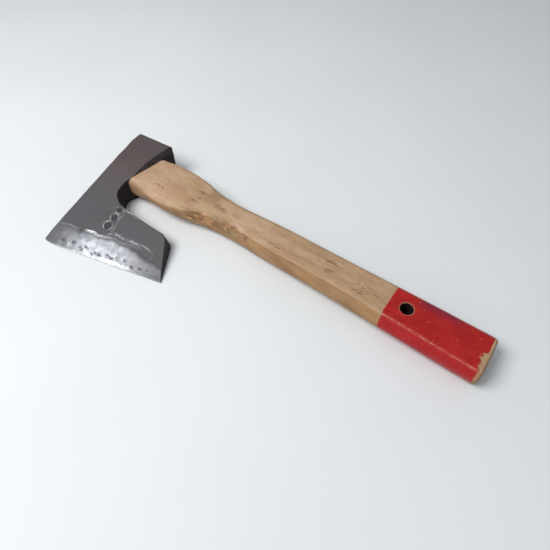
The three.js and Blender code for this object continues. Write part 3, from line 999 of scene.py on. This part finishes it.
class Surface:
    """One procedural material, with short calls that add linked nodes."""

    def __init__(self, name, **constants):
        self.material = bpy.data.materials.new(name)
        self.material.use_nodes = True
        self.tree = self.material.node_tree
        self.shader = self.tree.nodes["Principled BSDF"]
        self.place = self.node("ShaderNodeTexCoord").outputs["Object"]
        for socket, value in constants.items():
            self.shader.inputs[socket.replace("_", " ")].default_value = value

    def node(self, kind, settings=(), inputs=()):
        node = self.tree.nodes.new(kind)
        for key, value in dict(settings).items():
            setattr(node, key, value)
        for key, value in dict(inputs).items():
            if isinstance(value, bpy.types.NodeSocket):
                self.tree.links.new(value, node.inputs[key])
            else:
                node.inputs[key].default_value = value
        return node

    def stretched(self, x, y, z):
        """Object coordinates scaled so that one unit is these sizes in millimetres."""
        scale = (1 / (x * MM), 1 / (y * MM), 1 / (z * MM))
        return self.node("ShaderNodeMapping", {}, {"Vector": self.place, "Scale": scale}).outputs[0]

    def noise(self, size, detail=2.0, roughness=0.5, distortion=0.0):
        """Noise with features of a size in mm, or of three sizes along X, Y and Z."""
        sizes = size if isinstance(size, tuple) else (size,) * 3
        return self.node("ShaderNodeTexNoise", {}, {
            "Vector": self.stretched(*sizes), "Scale": 1.0, "Detail": detail,
            "Roughness": roughness, "Distortion": distortion,
        }).outputs["Fac"]

    def cells(self, *sizes):
        """Distance to the nearest cell point, with cells of three sizes along X, Y and Z."""
        vector = self.stretched(*sizes)
        cells = self.node("ShaderNodeTexVoronoi", {}, {"Vector": vector, "Scale": 1.0})
        return cells.outputs["Distance"]

    def wave(self, profile, vector, **settings):
        """Growth rings round the X axis."""
        look = {"wave_type": "RINGS", "rings_direction": "X", "wave_profile": profile}
        inputs = {name.replace("_", " "): value for name, value in settings.items()}
        return self.node("ShaderNodeTexWave", look, {"Vector": vector, **inputs}).outputs["Fac"]

    def masks(self, *names):
        """Attributes of the mesh's points, as stored with store()."""
        return [self.node("ShaderNodeAttribute", {"attribute_name": name}).outputs["Fac"]
                for name in names]

    def math(self, operation, first, second=0.0):
        return self.node("ShaderNodeMath", {"operation": operation}, {0: first, 1: second}).outputs[0]

    def between(self, value, low, high, to_low=0.0, to_high=1.0):
        """The value carried from one span to another, and held at its ends."""
        return self.node("ShaderNodeMapRange", {"interpolation_type": "SMOOTHSTEP"}, {
            "Value": value, "From Min": low, "From Max": high, "To Min": to_low, "To Max": to_high,
        }).outputs["Result"]

    def mix(self, share, first, second):
        """Colour between two colours or sockets."""
        node = self.node("ShaderNodeMix", {"data_type": "RGBA"})
        for number, value in ((0, share), (6, first), (7, second)):
            socket = node.inputs[number]
            if isinstance(value, bpy.types.NodeSocket):
                self.tree.links.new(value, socket)
            else:
                socket.default_value = value if isinstance(value, float) else (*value, 1)
        return node.outputs[2]

    def veil(self, colour, tone, mask, most):
        """The colour with another laid over it, at most so much of it."""
        return self.mix(self.math("MULTIPLY", mask, most), colour, tone)

    def mottled(self, colour, tone, most, span, *noise):
        """The colour with patches of another, where the noise rises through a span."""
        return self.mix(self.between(self.noise(*noise), *span, 0.0, most), colour, tone)

    def bumps(self, *layers):
        """Bumps of heights between 0 and 1 on top of each other, each over a distance in mm."""
        normal = {}
        for height, distance in layers:
            inputs = {"Height": height, "Distance": distance * MM, "Strength": 1.0, **normal}
            normal = {"Normal": self.node("ShaderNodeBump", {}, inputs).outputs[0]}
        return normal["Normal"]

    def set(self, **sockets):
        for socket, value in sockets.items():
            self.tree.links.new(value, self.shader.inputs[socket.replace("_", " ")])
        return self.material


def steel_material():
    """Dark forged skin, ground bright between the weld line and the edge."""
    s = Surface("steel", Specular_IOR_Level=0.22)
    warm, polish, bright, pit, soot = s.masks("warm", "polish", "bright", "pit", "soot")
    skin = s.mix(warm, (0.080, 0.081, 0.090), (0.098, 0.073, 0.074))
    skin = s.mottled(skin, (0.072, 0.063, 0.066), 0.4, (0.35, 0.72), 16, 4, 0.55)
    skin = s.mottled(skin, (0.14, 0.135, 0.135), 0.18, (0.56, 0.74), 0.8, 3, 0.6)
    # painted shade: the side walls that face +X and -Y are darkened nearly to black
    skin = s.mix(soot, skin, (0.017, 0.013, 0.014))
    ground = s.mottled((0.20, 0.208, 0.232), (0.34, 0.355, 0.388), 1.0, (0.32, 0.68), 6, 4, 0.6)
    ground = s.mottled(ground, (0.14, 0.14, 0.165), 0.35, (0.48, 0.75), (1.4, 7, 7), 4, 0.6)
    colour = s.mix(polish, skin, ground)
    colour = s.mix(bright, colour, (0.88, 0.89, 0.92))
    colour = s.mix(pit, colour, (0.045, 0.042, 0.048))
    shine = s.math("MAXIMUM", polish, bright)
    rough = s.between(s.noise(3, 5, 0.6), 0.3, 0.7, 0.42, 0.54)
    rough = s.math("SUBTRACT", rough, s.math("MULTIPLY", shine, 0.1))
    rough = s.math("ADD", rough, s.math("MULTIPLY", s.math("MAXIMUM", pit, soot), 0.2))
    metal = s.between(shine, 0.0, 0.9, 0.04, 0.92)
    normal = s.bumps((s.noise(1.3, 5, 0.65), 0.04), (s.noise((0.35, 7, 7), 2, 0.5), 0.01),
                     (s.math("SUBTRACT", 1.0, pit), 0.1))
    return s.set(Base_Color=colour, Roughness=rough, Metallic=metal, Normal=normal)


def wood_colours(s, light, mid, dark, ends):
    """Long grain, fibres and pores of a riven ash or hickory stave."""
    warp = s.node("ShaderNodeMapping", {}, {
        "Vector": s.place, "Location": (0, 0.11, 0.09), "Scale": (0.25, 1, 1)}).outputs[0]
    rings = s.wave("SIN", warp, Scale=62.0, Distortion=9.0, Detail=4.0, Detail_Scale=1.3,
                   Detail_Roughness=0.6)
    fibre = s.noise((14, 0.6, 0.6), 4, 0.6)
    colour = s.mottled(dark, mid, 1.0, (0.32, 0.68), (60, 6, 6), 4, 0.6, 0.6)
    colour = s.mix(s.between(rings, 0.25, 0.95, 0.0, 0.2), colour, light)
    colour = s.mix(s.between(fibre, 0.42, 0.72, 0.0, 0.24), colour, dark)
    pores = s.between(s.noise((4, 0.26, 0.26), 2, 0.5), 0.66, 0.76)
    return s.veil(colour, ends, pores, 0.35), fibre, pores


def end_grain(s):
    """Growth rings and pores where the stave is cut across."""
    off_centre = s.node("ShaderNodeMapping", {}, {"Vector": s.place, "Location": (0, 0.05, 0.035)})
    years = s.wave("SAW", off_centre.outputs[0], Scale=105.0, Distortion=1.2, Detail=3.0,
                   Detail_Scale=2.0)
    colour = s.mix(s.between(years, 0.1, 0.95), (0.29, 0.185, 0.105), (0.235, 0.142, 0.077))
    pores = s.between(s.cells(1e3, 0.45, 0.45), 0.12, 0.4, 0.55, 0.0)
    colour = s.mix(pores, colour, (0.10, 0.06, 0.035))
    return s.mottled(colour, (0.14, 0.09, 0.055), 0.5, (0.45, 0.7), (1e3, 9, 6), 4, 0.6)


def torn_wood(s, torn):
    """Olive and orange lumps with dark rims and pale splinters."""
    colour = s.mottled((0.34, 0.235, 0.10), (0.50, 0.26, 0.11), 1.0, (0.42, 0.56),
                       (22, 16, 16), 2, 0.5)
    rim = s.math("ABSOLUTE", s.math("SUBTRACT", torn, 0.5))
    colour = s.mix(s.between(rim, 0.008, 0.04, 0.8, 0.0), colour, (0.12, 0.06, 0.028))
    return s.mix(s.between(torn, 0.58, 0.68), colour, (0.60, 0.41, 0.25))


def wood_material():
    s = Surface("haft_wood", Specular_IOR_Level=0.35)
    pit, chewed, grime, cut_end = s.masks("pit", "chewed", "grime", "cut_end")
    flank, pale, cracked, bore = s.masks("flank", "pale", "crack", "bore")
    colour, fibre, pores = wood_colours(
        s, (0.50, 0.335, 0.205), (0.44, 0.285, 0.168), (0.37, 0.222, 0.122), (0.17, 0.09, 0.045))
    for tone, most, span, *look in (
        ((0.36, 0.22, 0.13), 0.65, (0.45, 0.72), (17, 7, 7), 5, 0.62, 0.8),     # blotches
        ((0.25, 0.145, 0.075), 0.45, (0.6, 0.72), (3.4, 1.5, 1.5), 3, 0.6),     # bruises
        ((0.57, 0.40, 0.26), 0.45, (0.42, 0.7), (20, 9, 9), 3, 0.5),            # pale patches
        ((0.45, 0.33, 0.17), 0.4, (0.5, 0.68), (15, 8, 8), 2, 0.5),             # olive patches
    ):
        colour = s.mottled(colour, tone, most, span, *look)
    # pale patches and a scar, and painted light near the eye
    colour = s.veil(colour, (0.61, 0.42, 0.31), pale, 0.75)
    # painted shade, with part of the wood's own warmer tone: the sides below the ridges go a deeper,
    # more orange brown
    amber = s.mottled((0.26, 0.136, 0.057), (0.36, 0.186, 0.074), 1.0, (0.35, 0.65),
                      (30, 8, 8), 3, 0.6)
    colour = s.veil(colour, amber, flank, 0.85)
    torn = s.noise((24, 12, 12), 4, 0.6, 0.6)
    colour = s.veil(colour, torn_wood(s, torn), chewed, 0.8)
    colour = s.veil(colour, (0.20, 0.12, 0.07), grime, 0.5)
    grit = s.math("MULTIPLY", s.noise((1.6, 0.5, 0.5), 4, 0.7), 0.6)
    ragged = s.between(s.math("ADD", pit, grit), 0.62, 1.0)
    colour = s.veil(colour, (0.22, 0.125, 0.06), ragged, 0.7)
    crack = s.math("ADD", cracked, s.math("MULTIPLY", fibre, 0.3))
    colour = s.mix(s.between(crack, 0.4, 0.9, 0.0, 0.8), colour, (0.19, 0.11, 0.055))
    colour = s.mix(cut_end, colour, end_grain(s))
    # painted shade: the wall of the hanging hole is painted nearly black
    colour = s.mix(bore, colour, (0.022, 0.008, 0.007))
    rough = s.between(fibre, 0.3, 0.7, 0.5, 0.66)
    normal = s.bumps((fibre, 0.05), (s.math("SUBTRACT", 1.0, pores), 0.04),
                     (s.math("MULTIPLY", torn, chewed), 0.5))
    return s.set(Base_Color=colour, Roughness=rough, Normal=normal)


def wedge_wood_material():
    s = Surface("wedge_wood")
    colour, fibre, pores = wood_colours(
        s, (0.40, 0.24, 0.12), (0.34, 0.19, 0.09), (0.24, 0.125, 0.055), (0.1, 0.05, 0.025))
    normal = s.bumps((fibre, 0.08), (s.math("SUBTRACT", 1.0, pores), 0.05))
    return s.set(Base_Color=colour, Roughness=s.between(fibre, 0.3, 0.7, 0.6, 0.8), Normal=normal)


def wedge_steel_material():
    s = Surface("wedge_steel", Metallic=0.85)
    rust = s.between(s.noise(2.2, 5, 0.7), 0.48, 0.64)
    colour = s.mix(rust, (0.23, 0.22, 0.22), (0.12, 0.06, 0.035))
    normal = s.bumps((s.noise(0.8, 4, 0.7), 0.06))
    return s.set(Base_Color=colour, Roughness=s.between(rust, 0, 1, 0.42, 0.75), Normal=normal)


def paint_material():
    """Thick red enamel, pale along the ridge and round the hole's rim with rubbing and a painted
    highlight, chipped and worn through in places.
    """
    s = Surface("red_enamel", Specular_IOR_Level=0.2, Coat_Weight=0.12, Coat_Roughness=0.1)
    rubbed, bare, dusk, flank = s.masks("rubbed", "bare", "dusk", "flank")
    colour = s.mottled((0.345, 0.010, 0.009), (0.43, 0.018, 0.015), 1.0, (0.3, 0.7),
                       (16, 9, 9), 4, 0.6)
    # painted shade: the sides below the ridges are veiled a little darker and cooler
    colour = s.veil(colour, (0.37, 0.008, 0.013), flank, 0.6)
    # painted shade: the back half of the top, around and past the hole, is darkened to a deep purple
    # red
    colour = s.veil(colour, (0.15, 0.014, 0.045), dusk, 0.6)
    grit = s.noise((2.2, 0.9, 0.9), 4, 0.7)
    # painted highlight, partly rubbed paint: a pale pink line along the ridge and round the hole's rim
    rub = s.math("MULTIPLY", rubbed, s.between(grit, 0.34, 0.6))
    colour = s.veil(colour, (0.70, 0.26, 0.2), rub, 0.7)
    worn = s.between(s.math("ADD", bare, s.math("MULTIPLY", grit, 0.5)), 0.66, 0.76)
    colour = s.mix(worn, colour, (0.42, 0.25, 0.12))
    specks = s.between(s.noise(2.1, 1, 0.5), 0.735, 0.76)
    colour = s.veil(colour, (0.6, 0.22, 0.17), specks, 0.45)
    rough = s.between(s.noise((9, 4, 4), 4, 0.6), 0.3, 0.7, 0.26, 0.38)
    rough = s.math("ADD", rough, s.math("MULTIPLY", worn, 0.3))
    normal = s.bumps((s.noise((20, 3, 3), 3, 0.5), 0.08), (s.math("SUBTRACT", 1.0, worn), 0.12))
    return s.set(Base_Color=colour, Roughness=rough, Normal=normal)


def floor_material():
    s = Surface("table_top", Specular_IOR_Level=0.25)
    soft = s.noise(160, 3, 0.5)
    colour = s.mix(s.between(soft, 0.3, 0.7), (0.765, 0.795, 0.82), (0.785, 0.815, 0.84))
    return s.set(Base_Color=colour, Roughness=s.between(soft, 0.3, 0.7, 0.55, 0.62))


# ---- Wear, and painted light and shade, on the pieces -------------------------------

# Plain punched dimples in a row from the throat to the weld line: x, y, radius
DIMPLES = ((28, -51.6, 3.5), (29, -60, 3.8), (29, -69, 4.1))
OVERLAP = (35, 82)              # x between which a second seam shows above the weld line
OVERLAP_RISE = (3, 7.5)
OVERLAP_LOOP = 3.8              # radius of the loop that it ends in


def hairlines():
    """Bright lines on the cheek: points, half width, strength."""
    x = np.linspace(*OVERLAP, 9)
    rise = np.linspace(*OVERLAP_RISE, 9) + 0.8 * np.sin(np.linspace(0, 3 * math.pi, 9))
    seam = rows_of(x, weld_y(x) + rise)
    turns = np.linspace(math.pi / 2, -math.pi, 8)
    loop = seam[-1] + OVERLAP_LOOP * rows_of(np.cos(turns), np.sin(turns) - 1)
    corner = np.array(THROAT[-1])
    down = np.array([corner + (-1, -4), (corner[0] + 2, weld_y(corner[0] + 2) + 2)])
    along_beard = corner + np.array(((-1, -3.5), (9, -3.6), (18, -3.7)))
    return (seam, 0.35, 0.45), (loop, 0.3, 0.13), (down, 0.28, 0.4), (along_beard, 0.45, 0.7)


def edge_pits():
    """A broken row of rust pits behind the cutting edge: x, y, half length, half width."""
    draw = np.random.default_rng(5)
    pits, x = [], 1.0
    while x < 90:
        long = draw.uniform(0.8, 3.2)
        pits.append((x, edge_y(x) + draw.uniform(3, 8), long, long * draw.uniform(0.35, 0.7)))
        x += draw.uniform(2, 10)
    return pits


def dimple_shapes(flat):
    """Depth of the punched dimples, and the bright burr round each."""
    depth, burr = np.zeros(len(flat)), np.zeros(len(flat))
    wobble = rows_of(flat, np.zeros(len(flat)))
    for x, y, radius in DIMPLES:
        away = np.hypot(flat[:, 0] - x, flat[:, 1] - y) / radius + 0.07 * noise_at(wobble, 2.2, x + y)
        depth = np.maximum(depth, smoothstep(1.0, 0.55, away))
        burr = np.maximum(burr, bell(away - 1.04, 0.1))
    return depth, burr


def shape_steel(piece):
    """Hammer and grinding unevenness, the seam's lips, the dimples and the edge's pits."""
    points, normals = tool_points(piece)
    flat = points[:, :2]
    on_top = smoothstep(0.5, 0.85, normals[:, 2])
    seam, _ = line_distance(flat, weld_points)
    lip = 0.16 * bell(seam - 0.55, 0.5) - 0.12 * bell(seam, 0.25)
    lift = on_top * lip * smoothstep(102, 88, flat[:, 0])
    dimples, burr = dimple_shapes(flat)
    lift += on_top * (0.12 * burr - 0.55 * dimples)
    edge = edge_distance(*flat.T)
    pitted = np.zeros(len(flat))
    for pit in rust_pits:
        pitted = np.maximum(pitted, spot_at(*flat.T, *pit))
    lift -= on_top * 0.22 * pitted * smoothstep(0.5, 2.5, edge)
    thick = smoothstep(1, 12, edge)
    lift += thick * (0.16 * noise_at(points, 17, 1.5) + 0.05 * noise_at(points, 4.5, 6.1))
    lift -= thick * (1 - on_top) * 0.1 * np.abs(noise_at(points, 2.6, 7.7))
    lift = np.minimum(lift, 0.35) - 0.12 * (1 - on_top)
    inner = (seam < 0.3) & (normals[:, 2] < 0.3)
    moved = points + normals * np.where(inner, 0, lift)[:, None]
    moved[:, 2] = np.maximum(moved[:, 2], 0)
    set_points(piece, moved)


def polish_mask(x, seam, side, mottle, fine):
    """The ground band behind the edge, and the rubbed strip above the weld line."""
    below = smoothstep(0.2, 4, np.where(side > 0, seam, -seam))
    along = curve_through(x, (-16, -6, 6, 16, 40, 72, 84, 94, 106),
                          (0.12, 0.25, 0.5, 0.75, 0.85, 0.6, 0.42, 0.3, 0.16))
    grain = smoothstep(80, 45, x)
    ground = below * along * (0.85 + grain * (0.75 * mottle - 0.3))
    strip = band(x, 34, 42, 62, 80) * smoothstep(7.5, 5, seam) * (side < 0)
    return np.maximum(ground, 0.5 * strip * smoothstep(0.3, 0.8, fine))


def weld_shine(x, seam, fine, breaks):
    strength = curve_through(x, (-16, 4, 9, 12, 14, 36, 50, 60, 86, 100),
                             (0.85, 0.9, 0.3, 0.3, 1, 1, 0.9, 0.4, 0.15, 0.0))
    reach = 0.42 + 0.3 * band(x, 12, 15, 38, 44)
    return strength * bell(seam, reach) * (0.5 + 0.6 * fine) * smoothstep(0.0, 0.25, breaks)


def bright_mask(points, edge, seam, burr, wander, mottle, fine):
    """Where the steel is rubbed white: the weld line, hairlines, burrs and the edge's streak."""
    flat, x = points[:, :2], points[:, 0]
    breaks = mottle_at(points, 3.4, 7.3, 2)
    bright = weld_shine(x, seam, fine, breaks)
    for line, width, shine in bright_lines:
        hair = line_mask(flat + 0.9 * wander, line, width) * smoothstep(0.15, 0.45, breaks)
        bright = np.maximum(bright, shine * hair * (0.4 + 0.8 * fine))
    bright = np.maximum(bright, 0.75 * burr * (0.1 + 0.9 * fine) * smoothstep(0.3, 0.65, breaks))
    streak = bell(edge - 2.2, 1.2) * band(x, 22, 38, 60, 80)
    return np.maximum(bright, streak * smoothstep(0.3, 0.8, 0.4 * mottle + 0.6 * fine))


def rust_mask(x, y, fine):
    pits = np.zeros(len(x))
    for pit in rust_pits:
        pits = np.maximum(pits, smoothstep(0.3, 0.6, spot_at(x, y, *pit) * (0.1 + 1.5 * fine)))
    return pits


def paint_steel(piece):
    """Masks for the steel's colour: warm skin, painted shade on the side walls, ground band, bright
    rubs, dark pits.
    """
    points, normals = tool_points(piece)
    flat = points[:, :2]
    x, y = flat.T
    on_top = smoothstep(0.55, 0.9, normals[:, 2])
    edge = edge_distance(x, y)
    seam, side = line_distance(flat, weld_points)
    mottle = mottle_at(points, 6, 2.4, 4)
    fine = mottle_at(points, 1.3, 5.2, 3)
    wander = rows_of(noise_at(points, 4, 1.1, 2), noise_at(points, 4, 9.7, 2))
    dimples, burr = dimple_shapes(flat + 0.35 * wander)
    bright = bright_mask(points, edge, seam, burr, wander, mottle, fine) * on_top
    keen = bell(edge, 0.8) * (0.2 + 0.5 * fine)
    pits = np.maximum(0.62 * rust_mask(x, y, fine), 0.95 * dimples)
    # painted shade on the side walls that face +X and -Y, kept off the cutting edge
    outward = normals[:, 0] - 0.6 * normals[:, 1]
    walls = smoothstep(0.62, 0.35, normals[:, 2]) * smoothstep(-0.35, 0.1, outward)
    store(piece, warm=smoothstep(-62, -12, y) * (0.75 + 0.4 * mottle),
          soot=unit(walls * smoothstep(1, 4, edge) * (0.72 + 0.25 * mottle)),
          polish=unit(polish_mask(x, seam, side, mottle, fine) * on_top),
          bright=unit(np.maximum(bright, keen)),
          pit=unit(pits * on_top))


def haft_points(piece):
    """Vertices of a piece in the haft's own frame."""
    points, normals = tool_points(piece)
    fall, rise = math.sin(HAFT_FALL), math.cos(HAFT_FALL)
    x, z = points[:, 0], points[:, 2] - EYE_HEIGHT
    return rows_of(x * rise - z * fall, points[:, 1], x * fall + z * rise), normals


def flank_mask(y, normals):
    """Painted shade, with some change of tone, on the sides that face the belly or the back, below the
    ridges.
    """
    return smoothstep(0.86, 0.55, np.abs(normals[:, 2])) * smoothstep(4, 8, np.abs(y))


def paint_wood(piece):
    points, normals = haft_points(piece)
    x, y, z = points.T
    _, pit = pit_mask(points)
    belly = belly_at(x)
    fine = mottle_at(points * (0.5, 1, 1), 2.2, 3.7, 3)
    wide = mottle_at(points * (0.3, 1, 1), 7, 6.4, 3)
    grime = smoothstep(0.5, 0.78, wide) * band(x, 60, 80, 105, 140)
    grime = np.maximum(grime, 0.3 * smoothstep(0.6, 0.8, fine)) * (x < PAINT_START_X)
    grime = np.maximum(grime, 0.9 * smoothstep(BUTT_X - 2.2, BUTT_X - 0.8, x))
    pale = band(x, 95, 118, 145, 190) * (z > 4) * smoothstep(0.25, 0.6, wide)
    scar = np.exp(-((x - 137) / 8) ** 4 - ((y - belly - 4.6) / 2.3) ** 4) * (z > 4)
    # inside the hanging hole, where the wall gets painted shade
    in_bore = (np.hypot(x - HOLE[0], y - HOLE[1]) < HOLE[2] + 0.25) & (np.abs(z) < HALF_THICK - 0.5)
    # painted light: the wood is lightened toward the eye
    near_eye = 0.5 * smoothstep(75, 45, x) * wide
    middle = 0.55 * pale * smoothstep(-13, -4, -np.abs(y))
    # how strongly the painted shade falls on the sides, more toward the butt
    deeper = (0.5 + 0.5 * smoothstep(40, 180, x)) * (0.6 + 0.6 * wide)
    store(piece, pit=smoothstep(0.1, 0.9, pit),
          crack=crack_mask(points),
          chewed=unit(chewed_mask(points) * (0.5 + fine)),
          grime=unit(grime),
          pale=unit(middle + scar + near_eye),
          flank=flank_mask(y, normals) * deeper,
          cut_end=smoothstep(0.6, 0.9, np.abs(normals[:, 0])) * ((x < 0) | (x > BUTT_X - 4)),
          bore=in_bore)


def paint_red(piece):
    points, normals = haft_points(piece)
    x, y, z = points.T
    inset, drop = ridge_at(x)
    fine = mottle_at(points * (0.4, 1, 1), 2.4, 3.1, 3)
    off_ridge = np.hypot(y - belly_at(x) - inset, z - HALF_THICK + drop)
    # painted highlight, partly rubbed paint, along the belly's upper ridge and round the hole's rim
    ridge = 0.4 * bell(off_ridge, 1.3)
    ridge += 0.9 * bell(off_ridge, 0.6) * smoothstep(0.4, 0.7, fine)
    rim = np.exp(-np.abs(np.hypot(x - HOLE[0], y - HOLE[1]) - HOLE[2] - 0.5) / 0.4) * (z > 6)
    end = smoothstep(4, 0, paint_end(y, z) - x)
    # painted shade on the back of the upper side, around the hole
    dusk = smoothstep(5, 14, y) * band(x, 296, 306, 325, 345) * smoothstep(0, 6, z)
    store(piece, rubbed=unit(ridge + 0.4 * rim),
          bare=unit(0.3 * end * smoothstep(3, -2, y) * (z > 0) + 0.22 * end),
          dusk=dusk,
          flank=flank_mask(y, normals))


# ---- The hatchet --------------------------------------------------------------------

weld_points = weld_line()
bright_lines, rust_pits = hairlines(), edge_pits()
haft_pits, haft_cracks = haft_marks()
steel = steel_material()
body, bit = build_head()
cut_away(body, [eye_cutter()])
for piece, node, slot in ((body, "axe_head", "forged_steel"), (bit, "steel_bit", "bit_steel")):
    shape_steel(piece)
    paint_steel(piece)
    finish_piece(piece, [node], steel)

haft = build_haft()
paint_wood(haft)
finish_piece(haft, ["haft"], wood_material())
coat = build_coat()
paint_red(coat)
finish_piece(coat, ["red_paint_coat"], paint_material())
finish_piece(build_wooden_wedge(), ["wooden_wedge"], wedge_wood_material())
wedge_steel = wedge_steel_material()
for wedge in STEEL_WEDGES:
    finish_piece(steel_plate(wedge, wedge[0], 0.35, 0.1), [wedge[1]], wedge_steel)

add_floor().data.materials.append(floor_material())
add_camera()
add_world()
for light in LIGHTS:
    add_light(*light)
bpy.context.scene.view_settings.view_transform = "Standard"
